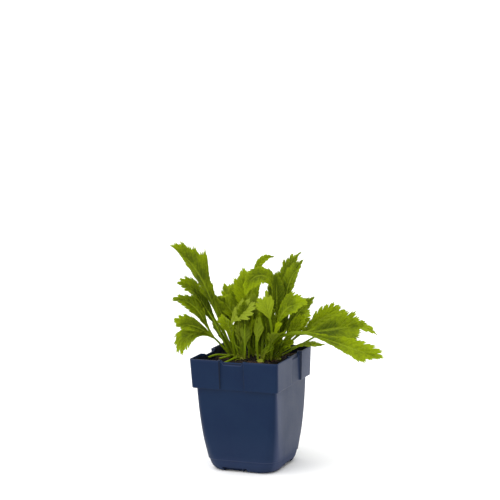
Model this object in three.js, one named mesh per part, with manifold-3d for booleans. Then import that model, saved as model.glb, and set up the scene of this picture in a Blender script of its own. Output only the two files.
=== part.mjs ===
// Oxeye daisy, a young plant of leaf rosettes, in a square nursery pot.
// Millimetres, +Z up. The origin is the centre of the pot's underside, on the ground.
// The front of the pot faces -Y, and +X is to the right of someone who looks at that front.

import * as THREE from 'three';
import { mergeVertices } from 'three/addons/utils/BufferGeometryUtils.js';
import Module from 'manifold-3d';

const wasm = await Module();
wasm.setup();
const { lerp, clamp, degToRad, smoothstep } = THREE.MathUtils;

// Pot: the driving sizes
const rimWidth = 92.5;
const potHeight = 113;
const wall = 1.2;
const collarHeight = 28.5;
const collarTaper = 2.2;
const collarStandout = 3.2;
const footWidth = 65;
const floorTop = 4.6;

// Soil and crowns
const clearance = 0.3;
const soilBelowRim = { middle: 6.3, edge: 9.5 };
const crownRadius = 7;
const crownDepth = 9;
const crownTop = potHeight - 4.2;
const rootHeight = potHeight - 6;

// Leaves
const bladeThickness = 0.8;
const stalkWidth = 2.3;
const stalkThickness = 1.7;

// The pot's plan is a square with rounded corners, walked round from the middle of the right side.
const cornerSteps = 5;

function roundedSquare(half, radius, z) {
  const points = [];
  for (let corner = 0; corner < 4; corner++) {
    const middle = Math.PI / 4 + corner * Math.PI / 2;
    const offset = (half - radius) * Math.SQRT2;
    const centre = new THREE.Vector2(Math.cos(middle) * offset, Math.sin(middle) * offset);
    for (let step = 0; step <= cornerSteps; step++) {
      const angle = middle - Math.PI / 4 + (step / cornerSteps) * Math.PI / 2;
      points.push(new THREE.Vector3(
        centre.x + radius * Math.cos(angle), centre.y + radius * Math.sin(angle), z));
    }
  }
  return points;
}

// A closed solid through a stack of rings with the same number of points, capped by a fan at each end.
function loft(rings, topFan = null) {
  const count = rings[0].length;
  const positions = rings.flat().flatMap((p) => [p.x, p.y, p.z]);
  const index = [];
  for (let level = 0; level + 1 < rings.length; level++) {
    for (let i = 0; i < count; i++) {
      const a = level * count + i;
      const b = level * count + (i + 1) % count;
      index.push(a, b, b + count, a, b + count, a + count);
    }
  }
  const addFan = (ring, start, flip, apex) => {
    const middle = apex ?? ring.reduce((sum, p) => sum.add(p), new THREE.Vector3()).divideScalar(count);
    const apexIndex = positions.length / 3;
    positions.push(middle.x, middle.y, middle.z);
    for (let i = 0; i < count; i++) {
      const a = start + i;
      const b = start + (i + 1) % count;
      if (flip) index.push(b, a, apexIndex);
      else index.push(a, b, apexIndex);
    }
  };
  addFan(rings[0], 0, true, null);
  addFan(rings.at(-1), (rings.length - 1) * count, false, topFan);
  return closedGeometry(positions, index);
}

function closedGeometry(positions, index) {
  const geometry = new THREE.BufferGeometry();
  geometry.setAttribute('position', new THREE.Float32BufferAttribute(positions, 3));
  geometry.setIndex(index);
  return geometry;
}

function toSolid(geometry) {
  const bare = geometry.clone();
  bare.deleteAttribute('normal');
  bare.deleteAttribute('uv');
  const merged = mergeVertices(bare, 1e-4);
  return new wasm.Manifold(new wasm.Mesh({
    numProp: 3,
    vertProperties: new Float32Array(merged.attributes.position.array),
    triVerts: new Uint32Array(merged.index.array),
  }));
}

function toGeometry(solid) {
  const { vertProperties, triVerts } = solid.getMesh();
  return closedGeometry(Array.from(vertProperties), Array.from(triVerts));
}

const unite = (solids) => solids.reduce((sum, solid) => sum.add(solid));

function box(width, depth, height, x, y, z) {
  return toSolid(new THREE.BoxGeometry(width, depth, height).translate(x, y, z));
}

// Walls of the pot, from the ground to the rim: height, half width and corner radius of each ring
const collarFoot = potHeight - collarHeight;
const rimHalf = rimWidth / 2;
const neckHalf = rimHalf - collarTaper / 2 - collarStandout;
const beadHeight = 12;
const potOutline = [
  { z: 0.8, half: footWidth / 2, radius: 15 },
  { z: 4.6, half: footWidth / 2 + 2.2, radius: 14 },
  { z: beadHeight - 0.6, half: footWidth / 2 + 3.8, radius: 12.8 },
  { z: beadHeight, half: footWidth / 2 + 4.4, radius: 12.4 },
  { z: 30, half: footWidth / 2 + 6.7, radius: 10 },
  { z: 56, half: neckHalf - 0.9, radius: 7.4 },
  { z: collarFoot - 0.6, half: neckHalf, radius: 4.6 },
  { z: collarFoot, half: rimHalf - collarTaper / 2, radius: 3.4 },
  { z: potHeight, half: rimHalf, radius: 3 },
];

// The inside keeps one wall thickness from the outside, and has no step at the bead.
function innerRing({ half, radius }, z, extra = 0) {
  return roundedSquare(half - wall - extra, Math.max(radius - wall - extra, 1), z);
}

const insideOutline = potOutline.filter(({ z }) => z > beadHeight && z !== collarFoot);

// Middle panel of each side: set back over the whole collar, with a second step back above its top edge,
// and a dip in the rim over that. It stands off the middle of its side, away from the near right corner.
const panel = { width: 25.6, depth: 2.6, topDrop: 4.8, topDepth: 3.6, dip: 1.8, frontShift: -2.1, sideShift: 5.7 };

function potSolid() {
  const outside = toSolid(loft(potOutline.map(({ z, half, radius }) => roundedSquare(half, radius, z))));
  const floorRing = innerRing(potOutline[1], floorTop, 0.6);
  const beadRing = innerRing(potOutline[2], beadHeight);
  const inside = toSolid(loft([
    floorRing, beadRing,
    ...insideOutline.map((ring) => innerRing(ring, ring.z)),
    innerRing(potOutline.at(-1), potHeight + 1),
  ]));
  const backThickness = panel.topDepth - panel.depth + wall;
  const panelBacks = onFourSides(() => box(
    panel.width + 2 * wall, backThickness, collarHeight - 1,
    0, -(rimHalf - panel.depth - backThickness / 2), collarFoot + 1 + (collarHeight - 1) / 2));
  const recesses = onFourSides(() => box(
    panel.width, panel.depth, collarHeight - panel.topDrop + 1,
    0, -(rimHalf - panel.depth / 2), collarFoot - 1 + (collarHeight - panel.topDrop + 1) / 2));
  const topSteps = onFourSides(() => notch(panel.width, panel.topDepth, panel.topDrop));
  const dips = onFourSides(() => notch(panel.width, panel.topDepth + 2 * wall + 2, panel.dip));
  const shell = outside.subtract(inside);
  const panelled = unite([shell, panelBacks]).subtract(recesses).subtract(topSteps).subtract(dips);
  return panelled.subtract(baseCuts()).subtract(drainHoles()).add(feet());
}

// The cut that lowers the rim over a panel, with sloped ends
function notch(width, depth, height) {
  const over = 1;
  const slope = 3.5;
  const profile = new THREE.Shape([
    new THREE.Vector2(-width / 2 - over, potHeight + over),
    new THREE.Vector2(-width / 2 + slope * 0.35, potHeight - height * 0.75),
    new THREE.Vector2(-width / 2 + slope, potHeight - height),
    new THREE.Vector2(width / 2 - slope, potHeight - height),
    new THREE.Vector2(width / 2 - slope * 0.35, potHeight - height * 0.75),
    new THREE.Vector2(width / 2 + over, potHeight + over),
  ]);
  const cut = new THREE.ExtrudeGeometry(profile, { depth: depth + over, bevelEnabled: false, steps: 1 });
  cut.rotateX(Math.PI / 2);
  cut.translate(0, -(rimHalf - depth), 0);
  return toSolid(cut);
}

function onFourSides(make) {
  return unite([0, 90, 180, 270].map((turn) => {
    const shift = turn % 180 === 0 ? panel.frontShift : panel.sideShift;
    return make().translate([shift, 0, 0]).rotate([0, 0, turn]);
  }));
}

// Between its corner feet each wall is cut away from below: a long shallow cut, and a deeper notch at its
// end. The cuts of neighbouring sides mirror each other about the corner between them.
const baseCut = { from: -19, to: 2, height: 4.2, depth: 2.5, notchFrom: 2.8, notchTo: 6.8, notchDepth: 10 };

function baseCuts() {
  const { from, to, height, depth, notchFrom, notchTo, notchDepth } = baseCut;
  const cuts = [0, 90, 180, 270].map((turn) => {
    const over = 4;
    const mirror = turn % 180 === 0 ? 1 : -1;
    const faceAt = -footWidth / 2 - over;
    const long = box(
      to - from, depth + over, 2 * height, mirror * (from + to) / 2, faceAt + (depth + over) / 2, 0);
    const notched = box(
      notchTo - notchFrom, notchDepth + over, 2 * height,
      mirror * (notchFrom + notchTo) / 2, faceAt + (notchDepth + over) / 2, 0);
    return long.add(notched).rotate([0, 0, turn]);
  });
  return unite(cuts);
}

// Six drain holes in a ring round the middle of the floor
function drainHoles() {
  const holeRadius = 3.2;
  const ringRadius = 18;
  const holes = [];
  for (const angle of [0, 60, 120, 180, 240, 300]) {
    const hole = new THREE.CylinderGeometry(holeRadius, holeRadius, 2 * floorTop, 12).rotateX(Math.PI / 2);
    hole.translate(
      ringRadius * Math.cos(degToRad(angle)), ringRadius * Math.sin(degToRad(angle)), floorTop / 2);
    holes.push(toSolid(hole));
  }
  return unite(holes);
}

// The floor is raised off the ground on a foot in each corner and a boss in the middle.
function feet() {
  const footHeight = 2.4;
  const bossRadius = 8;
  const fromCorner = 7;
  const boss = new THREE.CylinderGeometry(bossRadius, bossRadius, footHeight, 24).rotateX(Math.PI / 2);
  const parts = [toSolid(boss.translate(0, 0, footHeight / 2))];
  const [{ half, radius }] = potOutline;
  const reach = (half - radius) * Math.SQRT2 + radius - fromCorner;
  for (const turn of [45, 135, 225, 315]) {
    const foot = new THREE.CylinderGeometry(6.5, 5.6, footHeight, 16).rotateX(Math.PI / 2);
    foot.translate(reach * Math.cos(degToRad(turn)), reach * Math.sin(degToRad(turn)), footHeight / 2);
    parts.push(toSolid(foot));
  }
  return unite(parts);
}

// Soil: fills the pot, is a little mounded, and has a crumbly top and a plain hole for each crown.
function seeded(seed) {
  let state = seed;
  return () => {
    state = (state * 1664525 + 1013904223) % 4294967296;
    return state / 4294967296;
  };
}

function soilHeight(x, y) {
  const outward = clamp(Math.max(Math.abs(x), Math.abs(y)) / rimHalf, 0, 1);
  return potHeight - lerp(soilBelowRim.middle, soilBelowRim.edge, outward ** 2.2);
}

function soilSolid() {
  const random = seeded(11);
  const gap = clearance + 0.1;
  const sides = insideOutline.filter(({ z }) => z < collarFoot);
  const topHalf = lerp(neckHalf, rimHalf, (collarHeight - soilBelowRim.edge) / collarHeight) - wall - gap;
  const topRing = roundedSquare(topHalf, 3, 0);
  const rings = [
    innerRing(potOutline[1], floorTop + clearance, 0.6 + gap),
    innerRing(potOutline[2], beadHeight, gap),
    ...sides.map((ring) => innerRing(ring, ring.z, gap)),
    topRing.map((p) => new THREE.Vector3(p.x, p.y, soilHeight(p.x, p.y))),
  ];
  const rounds = 6;
  const crumb = 0.9;
  for (let round = 1; round < rounds; round++) {
    const share = 1 - round / rounds;
    rings.push(topRing.map((p) => new THREE.Vector3(
      p.x * share, p.y * share,
      soilHeight(p.x * share, p.y * share) + (random() - 0.6) * crumb)));
  }
  const body = toSolid(loft(rings, new THREE.Vector3(0, 0, soilHeight(0, 0))));
  const panelRoom = onFourSides(() => box(
    panel.width + 2 * (wall + gap), 8, collarHeight,
    0, -(rimHalf - panel.topDepth - wall - gap + 4), collarFoot + 1 - gap + collarHeight / 2));
  const holes = Object.values(rosettes).map(({ centre: [x, y] }) => {
    const radius = crownRadius + clearance + 0.2;
    const depth = crownDepth + clearance;
    const height = depth + 10;
    const hole = new THREE.CylinderGeometry(radius, radius, height, 14).rotateX(Math.PI / 2);
    return toSolid(hole.translate(x, y, crownTop - depth + height / 2));
  });
  return body.subtract(panelRoom).subtract(unite(holes));
}

// A leaf starts at a crown and runs out along a curved midrib. Angles are in degrees.
//   at       where it starts, from the middle of its crown
//   heading  the way it grows, turned from +X towards +Y, and turn, what it adds by the tip
//   rise     how steeply it leaves the crown, and fall, its slope at the tip
//   bendAt, bendOver   the share of its length where it bends, and over how much
//   length, width, stalk   stalk is the share of the length before the blade
//   roll, rollTip      tilt of the blade about its midrib
//   teeth, cut         teeth on each edge, and how deep they are cut
//   skew     how much wider the right half is than the left
//   lobes    extra width: side, where, how much, how broad
//   lift     how far above the crown it starts, where it branches off another stalk
//   fold, cup          the V of the blade at its midrib, and how much more its edges rise
//   ripple, waves      how far the edges wave, and how often
//   lean, full         slant of the side ribs, and the share of the blade where it is at full width
const usualLeaf = {
  turn: 0, bendAt: 0.6, bendOver: 1.2, stalk: 0.42, roll: 0, teeth: 6, cut: 0.2, skew: 0,
  cup: 14, fold: 8, ripple: 0.6, waves: 2, lean: 46, full: 0.55, lift: 0, lobes: [],
};

function leaf(at, heading, rise, fall, length, width, more = {}) {
  return { ...usualLeaf, at, heading, rise, fall, length, width, ...more };
}

const rosettes = {
  rosette_left: {
    centre: [-20, 4],
    leaves: [
      leaf([0, 1], 212, 69, -7, 131, 29, {
        bendAt: 1.02, bendOver: 1.13, turn: 8, stalk: 0.34, roll: 62, rollTip: 50, teeth: 12,
        cut: 0.12, full: 0.6, skew: 0.25,
        lobes: [[-1, 0.3, 6, 0.06], [1, 0.48, 9, 0.05], [1, 0.36, -4, 0.07], [1, 0.9, 2, 0.12]] }),
      leaf([-2, 5], 197, 61, -53, 98, 22, {
        bendAt: 1, bendOver: 0.8, turn: 27, stalk: 0.5, roll: 45, teeth: 8 }),
      leaf([-2, -2], 213, 51, -19, 70, 17, { bendAt: 0.75, turn: 4, stalk: 0.45, roll: 55, teeth: 6 }),
      leaf([-17, -12], 196, 62, -24, 60, 20, {
        lift: 21, bendAt: 0.79, bendOver: 1, stalk: 0.12, roll: 48, teeth: 8, cut: 0.22 }),
      leaf([-18, -12.5], 202, 59, 13, 43, 20, {
        lift: 22, bendAt: 0.2, bendOver: 1, stalk: 0.08, roll: 45, teeth: 6, cut: 0.22 }),
      leaf([-16.5, -11.5], 206, 27, -109, 46, 27, {
        lift: 20, bendAt: 0.59, bendOver: 1.1, turn: -11, stalk: 0.1, roll: 52, teeth: 7, cut: 0.24,
        skew: 0.1 }),
      leaf([-2, 5], 157, 58, -1, 93, 20, { turn: 11, roll: 10 }),
    ],
  },
  rosette_front: {
    centre: [-9, -6],
    leaves: [
      leaf([-1, 0], 338, 112, 28, 72, 25, {
        bendAt: 0.51, bendOver: 0.5, turn: 29, stalk: 0.45, roll: -62, teeth: 5, cut: 0.42 }),
      leaf([5, -1], 100, 79, 104, 59, 17, { turn: 17, stalk: 0.45 }),
      leaf([6, -3], 277, 97, 122, 39, 17, { stalk: 0.35, teeth: 5 }),
      leaf([-4, -4], 98, 106, 134, 58, 20, { turn: -23, stalk: 0.38, teeth: 6 }),
      leaf([1, 5], 107, 82, 84, 59, 19, { turn: -3, stalk: 0.4, teeth: 6 }),
    ],
  },
  rosette_middle: {
    centre: [14, -6],
    leaves: [
      leaf([2, 3], 351, 67, -6, 82, 25, {
        bendAt: 0.76, bendOver: 0.5, turn: 2, stalk: 0.45, roll: -64, teeth: 5, cut: 0.16,
        skew: -0.12 }),
      leaf([5, 3], 225, 88, 46, 66, 24, { bendAt: 0.8, bendOver: 0.6, roll: 60, teeth: 6, cut: 0.16 }),
      leaf([0, 2], 9, 93, 7, 118, 37, {
        bendAt: 0.14, bendOver: 0.5, turn: 20, stalk: 0.48, roll: -66, rollTip: -62, teeth: 8,
        cut: 0.14, skew: 0.1, lobes: [[1, 0.86, -5, 0.14]] }),
      leaf([0, -1], 2, 60, -15, 141, 27, {
        bendAt: 0.27, bendOver: 0.5, turn: -6, stalk: 0.4, roll: -62, teeth: 10, cut: 0.13,
        full: 0.85, lobes: [[1, 0.68, 6, 0.05], [-1, 0.84, 6, 0.12], [1, 0.38, -3, 0.2]] }),
      leaf([6, -1], 326, 77, 9, 45, 26, { stalk: 0.35, teeth: 5, cut: 0.4 }),
      leaf([-2, 4], 94, 79, 68, 52, 18, { stalk: 0.4, teeth: 5 }),
      leaf([-4, -1], 255, 87, 105, 44, 18, { stalk: 0.38, teeth: 5 }),
      leaf([5, 0], 341, 72, 49, 46, 17, { stalk: 0.4, roll: -45, teeth: 5 }),
    ],
  },
  rosette_right: {
    centre: [23, 7],
    leaves: [
      leaf([-5, 1], 203, 92.5, -67, 119, 22, {
        bendAt: 0.74, bendOver: 0.45, turn: 41, roll: 55, rollTip: 62, teeth: 9, cut: 0.15,
        skew: -0.05 }),
      leaf([-4, -1], 62, 73, 3, 112, 17, {
        bendAt: 0.91, bendOver: 0.6, turn: 10, stalk: 0.4, roll: -28, teeth: 12, cut: 0.14,
        full: 0.4, skew: -0.3 }),
      leaf([-2, -3], 39, 76, 29, 104, 18, {
        bendAt: 0.89, bendOver: 0.6, roll: -40, teeth: 10, cut: 0.14, skew: -0.1 }),
      leaf([-1, -3], 30, 72, 40, 76, 16, { bendAt: 0.46, turn: -2, stalk: 0.35, roll: -58, teeth: 8 }),
      leaf([1, -3], 34, 68, 30, 86, 24, { bendAt: 0.05, turn: 9, roll: -64, teeth: 7, cut: 0.28 }),
      leaf([1, 1], 44, 63, 19, 87, 16, { bendAt: 0.2, turn: -7, stalk: 0.5, roll: -40 }),
      leaf([1, 3], 30, 27, -96, 111, 18, { bendAt: 0.93, stalk: 0.55, roll: -24, teeth: 6 }),
      leaf([-1, -5], 22, 60, -3, 57, 14, { bendAt: 0.23, stalk: 0.35, roll: -14, teeth: 6 }),
      leaf([3, -1], 29, 61, 33, 53, 13, { stalk: 0.35, roll: -50, teeth: 5 }),
      leaf([-3, 5], 74, 43, 12, 78, 20, { bendAt: 0.53, turn: 14, roll: -10 }),
      leaf([2, -4], 15, 63, 43, 54, 18, { stalk: 0.4, roll: -52, teeth: 6 }),
    ],
  },
  rosette_back: {
    centre: [1, 14],
    leaves: [
      leaf([-6, 0], 138, 39, 58, 88, 24, {
        bendAt: 0.57, turn: 8, stalk: 0.36, roll: 10, teeth: 8, cut: 0.15, skew: 0.16 }),
      leaf([-3, -4], 144, 81, 47, 89, 31, {
        bendAt: 0.9, turn: -10, stalk: 0.33, roll: 20, teeth: 9, cut: 0.12, skew: 0.1 }),
      leaf([2, 1], 44, 92.5, -37, 114.5, 9.5, {
        bendAt: 0.86, bendOver: 0.5, turn: 22.5, stalk: 0.6, roll: -66, teeth: 9, skew: -0.1 }),
      leaf([-5, 3], 99, 61, 19, 98, 22, { roll: 8 }),
      leaf([-6, 2], 127, 55, -5, 100, 22, { turn: 11 }),
      leaf([5, 3], 80, 54, -11, 101, 23, { turn: -9 }),
      leaf([0, 5], 110, 41, -39, 86, 20, { turn: 9 }),
      leaf([-3, -4], 257, 88, 97, 64, 20, { stalk: 0.42 }),
      leaf([-5, -1], 174, 67, 43, 71, 21, { turn: -2, stalk: 0.4, roll: 35 }),
    ],
  },
};

// The midrib as a row of frames: place, way along, way to the right, way up from the blade
const spineSteps = 60;

function spineOf(shape, root) {
  const frames = [];
  const place = root.clone();
  const stride = shape.length / spineSteps;
  let before = null;
  for (let step = 0; step <= spineSteps; step++) {
    const share = step / spineSteps;
    const bent = smoothstep((share - shape.bendAt) / shape.bendOver + 0.5, 0, 1);
    const pitch = degToRad(lerp(shape.rise, shape.fall, bent));
    const heading = degToRad(shape.heading + shape.turn * share ** 1.3);
    const roll = degToRad(lerp(shape.roll, shape.rollTip ?? shape.roll, share));
    const along = new THREE.Vector3(
      Math.cos(pitch) * Math.cos(heading), Math.cos(pitch) * Math.sin(heading), Math.sin(pitch));
    const level = new THREE.Vector3(Math.sin(heading), -Math.cos(heading), 0);
    const side = level.clone().applyAxisAngle(along, -roll);
    const up = side.clone().cross(along);
    if (before) place.addScaledVector(before.clone().add(along), stride / 2);
    frames.push({ place: place.clone(), along, side, up });
    before = along;
  }
  return frames;
}

function frameAt(frames, share) {
  const at = clamp(share, 0, 1) * spineSteps;
  const low = Math.min(Math.floor(at), spineSteps - 1);
  const [a, b] = [frames[low], frames[low + 1]];
  const mix = (key) => a[key].clone().lerp(b[key], at - low);
  return { place: mix('place'), along: mix('along'), side: mix('side'), up: mix('up') };
}

// A point of the blade: x along the midrib, y to the right of it. The blade is folded, cupped and waved.
function bladePoint(shape, frames, x, y) {
  const { place, along, side, up } = frameAt(frames, x / shape.length);
  const halfWidth = shape.width / 2;
  const out = Math.abs(y);
  const fold = degToRad(shape.fold);
  const cupping = degToRad(shape.cup) / halfWidth;
  const angle = fold + cupping * out;
  const sideways = (Math.sin(angle) - Math.sin(fold)) / cupping;
  const wave = Math.sin(2 * Math.PI * shape.waves * x / shape.length + Math.sign(y) * 1.1);
  const height = (Math.cos(fold) - Math.cos(angle)) / cupping
    + shape.ripple * Math.min((out / halfWidth) ** 2, 2) * wave;
  const point = place.addScaledVector(along, Math.max(x - shape.length, 0))
    .addScaledVector(side, Math.sign(y) * sideways)
    .addScaledVector(up, height);
  return { point, up };
}

// The margin is reached by side ribs that lean forward, so the teeth point to the tip and close round it.
const firstReach = 0.14;
const tipCloses = 0.62;

function marginPoint(shape, share, side, toothed) {
  const halfWidth = shape.width / 2;
  const bladeStart = shape.stalk * shape.length;
  const tipReach = 0.95 * halfWidth;
  const midrib = lerp(bladeStart, shape.length - tipReach, share);
  const lean = degToRad(shape.lean) * (1 - share ** 3.5);
  const full = halfWidth / Math.sin(degToRad(shape.lean));
  const grown = full * lerp(firstReach, 1, smoothstep(share / shape.full, 0, 1));
  const closing = smoothstep(share, tipCloses, 1);
  let reach = lerp(grown, tipReach, closing) * (1 + side * shape.skew);
  for (const [lobeSide, where, extra, breadth] of shape.lobes) {
    if (lobeSide === side) reach += extra * Math.exp(-(((share - where) / breadth) ** 2));
  }
  if (!toothed) reach *= 1 - shape.cut;
  return { midrib, x: midrib + reach * Math.cos(lean), y: reach * Math.sin(lean) * side };
}

// Every station across the leaf has a left, a middle and a right point. The tip closes them.
const stalkStations = [0, 0.3, 0.65];

function stationsOf(shape) {
  const stations = [];
  const bladeStart = shape.stalk * shape.length;
  for (const share of stalkStations) {
    stations.push({ left: [share * bladeStart, -stalkWidth / 2], middle: share * bladeStart,
      right: [share * bladeStart, stalkWidth / 2], thick: stalkThickness });
  }
  const last = 2 * shape.teeth - 1;
  for (let step = 0; step <= last; step++) {
    const share = step / (last + 1);
    const toothed = step % 2 === 1;
    const left = marginPoint(shape, share, -1, toothed);
    const right = marginPoint(shape, share, 1, toothed);
    const thick = lerp(stalkThickness, bladeThickness, smoothstep(share * 3, 0, 1));
    stations.push({ left: [left.x, left.y], middle: left.midrib, right: [right.x, right.y], thick });
  }
  return stations;
}

const midribDepth = 0.5;
const edgeThinning = 0.75;

function leafSolid(shape, [crownX, crownY]) {
  const root = new THREE.Vector3(crownX + shape.at[0], crownY + shape.at[1], rootHeight + shape.lift);
  const frames = spineOf(shape, root);
  const positions = [];
  const put = (x, y, thick, ribbed) => {
    const { point, up } = bladePoint(shape, frames, x, y);
    const top = point.clone().addScaledVector(up, thick / 2);
    const bottom = point.clone().addScaledVector(up, -thick / 2 - (ribbed ? midribDepth : 0));
    positions.push(...top.toArray(), ...bottom.toArray());
  };
  const stations = stationsOf(shape);
  for (const { left, middle, right, thick } of stations) {
    const edge = Math.max(thick * edgeThinning, bladeThickness);
    put(left[0], left[1], edge, false);
    put(middle, 0, thick, true);
    put(right[0], right[1], edge, false);
  }
  put(shape.length, 0, bladeThickness, false);
  return toSolid(closedGeometry(positions, leafFaces(stations.length)));
}

// Each station holds six points: left, middle and right, each with its top first and its underside next.
function leafFaces(count) {
  const index = [];
  const quad = (a, b, c, d) => index.push(a, b, c, a, c, d);
  for (let i = 0; i + 1 < count; i++) {
    const a = 6 * i;
    const b = a + 6;
    quad(a, a + 2, b + 2, b);
    quad(a + 2, a + 4, b + 4, b + 2);
    index.push(a + 1, b + 3, a + 3, a + 1, b + 1, b + 3);
    index.push(a + 3, b + 5, a + 5, a + 3, b + 3, b + 5);
    quad(a + 1, a, b, b + 1);
    quad(a + 4, a + 5, b + 5, b + 4);
  }
  quad(0, 1, 3, 2);
  quad(2, 3, 5, 4);
  const a = 6 * (count - 1);
  const tip = 6 * count;
  index.push(a, a + 2, tip, a + 2, a + 4, tip);
  index.push(a + 1, tip + 1, a + 3, a + 3, tip + 1, a + 5);
  quad(a + 1, a, tip, tip + 1);
  quad(a + 4, a + 5, tip + 1, tip);
  return index;
}

// Old stalks that were cut off lean out over the soil.
const cutStalks = {
  rosette_left: [
    [[-20, 3, 108], [-27, -5, 109.5], [-32, -12, 111], [-38, -18, 109.4]],
    [[-20, 2, 108], [-20, -6, 109.6], [-20, -14, 110.2], [-25, -20, 109.4]],
  ],
  rosette_front: [[[-9, -6, 107.5], [-9, -17, 110.4], [-11, -27, 109.8], [-13, -36, 109]]],
};

function stalkSolid(points) {
  const curve = new THREE.CatmullRomCurve3(points.map((p) => new THREE.Vector3(...p)));
  const section = new THREE.Shape();
  section.absellipse(0, 0, stalkWidth / 2, stalkWidth / 2, 0, 2 * Math.PI);
  return toSolid(new THREE.ExtrudeGeometry(section, { steps: 6, curveSegments: 5, extrudePath: curve }));
}

function crownSolid([x, y]) {
  const crown = new THREE.CylinderGeometry(crownRadius, crownRadius * 0.7, crownDepth, 10);
  return toSolid(crown.rotateX(Math.PI / 2).translate(x, y, crownTop - crownDepth / 2));
}

function rosetteSolid(name, { centre, leaves }) {
  const pieces = [crownSolid(centre), ...leaves.map((shape) => leafSolid(shape, centre))];
  return unite([...pieces, ...(cutStalks[name] ?? []).map(stalkSolid)]);
}

// Colours and finishes
const bluePlastic = new THREE.MeshStandardMaterial({ color: 0x23345a, roughness: 0.42, metalness: 0 });
const darkSoil = new THREE.MeshStandardMaterial({ color: 0x1d130f, roughness: 0.95, metalness: 0 });
const greenLeaf = new THREE.MeshStandardMaterial({ color: 0x6f8a12, roughness: 0.55, metalness: 0 });

const plant = new THREE.Group();

function addPiece(parent, name, solid, material) {
  const mesh = new THREE.Mesh(toGeometry(solid), material);
  mesh.name = name;
  parent.add(mesh);
}

addPiece(plant, 'pot', potSolid(), bluePlastic);
addPiece(plant, 'potting_soil', soilSolid(), darkSoil);
for (const [name, rosette] of Object.entries(rosettes)) {
  addPiece(plant, name, rosetteSolid(name, rosette), greenLeaf);
}

export default plant;
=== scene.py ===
import random
from math import atan2, copysign, cos, hypot, pi, radians, sin, sqrt

import bpy
import numpy as np
from mathutils import Matrix, Quaternion, Vector, noise


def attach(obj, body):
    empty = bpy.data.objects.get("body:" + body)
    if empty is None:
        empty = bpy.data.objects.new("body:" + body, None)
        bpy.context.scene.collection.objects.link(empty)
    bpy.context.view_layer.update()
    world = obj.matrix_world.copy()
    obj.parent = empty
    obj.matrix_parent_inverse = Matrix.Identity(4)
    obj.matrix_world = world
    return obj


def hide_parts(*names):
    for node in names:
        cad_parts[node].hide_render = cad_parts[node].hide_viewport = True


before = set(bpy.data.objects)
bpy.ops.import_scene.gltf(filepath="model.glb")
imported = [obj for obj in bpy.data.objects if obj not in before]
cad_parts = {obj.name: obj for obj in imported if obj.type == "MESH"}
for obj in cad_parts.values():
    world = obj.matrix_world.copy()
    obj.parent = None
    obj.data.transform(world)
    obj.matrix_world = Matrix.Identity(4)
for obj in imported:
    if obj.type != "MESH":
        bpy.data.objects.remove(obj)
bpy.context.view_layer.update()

mm = 0.001


def addObject(name, data):
    thing = bpy.data.objects.new(name, data)
    bpy.context.scene.collection.objects.link(thing)
    return thing


# camera, fitted to the three near corners of the rim
cameraSetup = {
    "azimuth": 22.98, "elevation": 8.6, "roll": -1.43,  # degrees
    "distance": 1.8, "lens": 131.79, "sensor": 36,  # metres, mm, mm
    "rim": (0, 0, 0.113), "rimRight": 0.001115, "rimUp": -0.10053,  # where the rim lies in the picture
}


def placeCamera(setup):
    turn, tilt = radians(setup["azimuth"]), radians(setup["elevation"])
    back = Vector((sin(turn) * cos(tilt), -cos(turn) * cos(tilt), sin(tilt)))
    right = (-back).cross(Vector((0, 0, 1))).normalized()
    right.rotate(Quaternion(back, radians(setup["roll"])))
    up = right.cross(-back)
    data = bpy.data.cameras.new("camera")
    data.lens, data.sensor_width = setup["lens"], setup["sensor"]
    data.clip_start, data.clip_end = 0.05, 200
    camera = addObject("camera", data)
    camera.rotation_mode = "QUATERNION"
    camera.rotation_quaternion = Matrix((right, up, back)).transposed().to_quaternion()
    camera.location = (Vector(setup["rim"]) - setup["rimRight"] * right - setup["rimUp"] * up
                       + setup["distance"] * back)
    bpy.context.scene.camera = camera


placeCamera(cameraSetup)
print("camera placed")


# shader sums
def mathNode(operation, swapped=False):  # an operator that adds a Math node
    def apply(self, other=0):
        first, second = (other, self) if swapped else (self, other)
        return self.shader.add("ShaderNodeMath", {"operation": operation}, {0: first, 1: second})
    return apply


class Wire:  # an output socket that takes part in sums
    def __init__(self, shader, socket):
        self.shader, self.socket = shader, socket

    __add__ = __radd__ = mathNode("ADD")
    __mul__ = __rmul__ = mathNode("MULTIPLY")
    __sub__, __rsub__ = mathNode("SUBTRACT"), mathNode("SUBTRACT", swapped=True)
    __abs__, fract = mathNode("ABSOLUTE"), mathNode("FRACT")

    def between(self, low, high, start=0, end=1):  # eases from start at low to end at high
        settings = {"interpolation_type": "SMOOTHSTEP"}
        return self.shader.add("ShaderNodeMapRange", settings, {
            "Value": self, "From Min": low, "From Max": high, "To Min": start, "To Max": end})


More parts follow.
